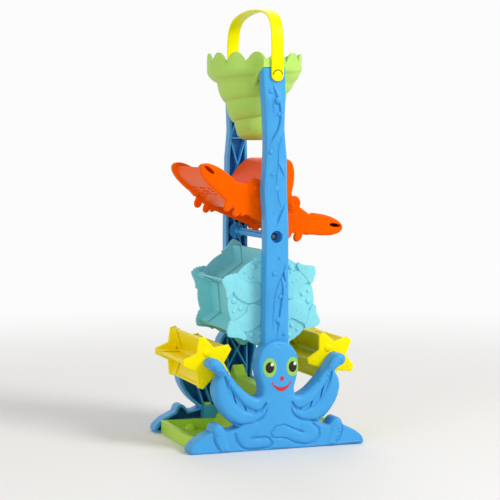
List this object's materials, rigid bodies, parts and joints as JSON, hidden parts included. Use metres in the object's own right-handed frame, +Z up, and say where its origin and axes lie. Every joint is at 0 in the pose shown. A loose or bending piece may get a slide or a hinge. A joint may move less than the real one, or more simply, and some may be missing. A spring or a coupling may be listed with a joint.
{
  "type": "sand and water mill toy",
  "caption": "Free-standing sand and water mill: a spiral funnel between twin towers pours onto a tipping crab, which feeds a bucket wheel and star wheels over a tray.",
  "frame": {"origin": "on the ground, midway between the two feet", "axes": "+X along the feet to the right seen from the front, +Y from the front tower to the rear tower, +Z up"},
  "size_m": [0.181, 0.145, 0.43],
  "materials": {
    "blue_plastic": "glossy moulded",
    "lime_plastic": "satin moulded",
    "yellow_plastic": "glossy moulded",
    "orange_plastic": "glossy moulded",
    "aqua_plastic": "satin moulded",
    "white_plastic": "plain moulded",
    "steel": "zinc plated"
  },
  "bodies": {
    "frame": {"front_tower": "blue_plastic", "rear_tower": "blue_plastic", "base_tray": "lime_plastic", "cross_rod": "blue_plastic", "rod_screw_front": "steel", "rod_screw_rear": "steel", "funnel": "lime_plastic"},
    "tipper": {"tipper_tray": "orange_plastic", "crab_front_plate": "orange_plastic", "crab_rear_plate": "orange_plastic", "tipper_axle": "white_plastic"},
    "fish_wheel": {"fish_wheel_front_half": "aqua_plastic", "fish_wheel_rear_half": "aqua_plastic", "fish_wheel_axle": "white_plastic"},
    "left_star": {"left_star_front_half": "yellow_plastic", "left_star_rear_half": "yellow_plastic", "left_star_axle": "white_plastic"},
    "right_star": {"right_star_front_half": "yellow_plastic", "right_star_rear_half": "yellow_plastic", "right_star_axle": "white_plastic"},
    "handle": {"carry_handle": "yellow_plastic"}
  },
  "joints": [
    {"name": "tipper_tip", "type": "hinge", "parent": "frame", "child": "tipper", "pos_m": [0, 0, 0.2404], "axis": [0, 1, 0], "range_deg": [-46, 0]},
    {"name": "wheel_spin", "type": "hinge", "parent": "frame", "child": "fish_wheel", "pos_m": [0, 0, 0.143], "axis": [0, 1, 0], "continuous": true},
    {"name": "left_star_spin", "type": "hinge", "parent": "frame", "child": "left_star", "pos_m": [-0.0642, 0, 0.085], "axis": [0, 1, 0], "continuous": true},
    {"name": "right_star_spin", "type": "hinge", "parent": "frame", "child": "right_star", "pos_m": [0.0642, 0, 0.085], "axis": [0, 1, 0], "continuous": true},
    {"name": "handle_swing", "type": "hinge", "parent": "frame", "child": "handle", "pos_m": [0, 0, 0.363], "axis": [0, 1, 0], "range_deg": [-90, 90]}
  ]
}
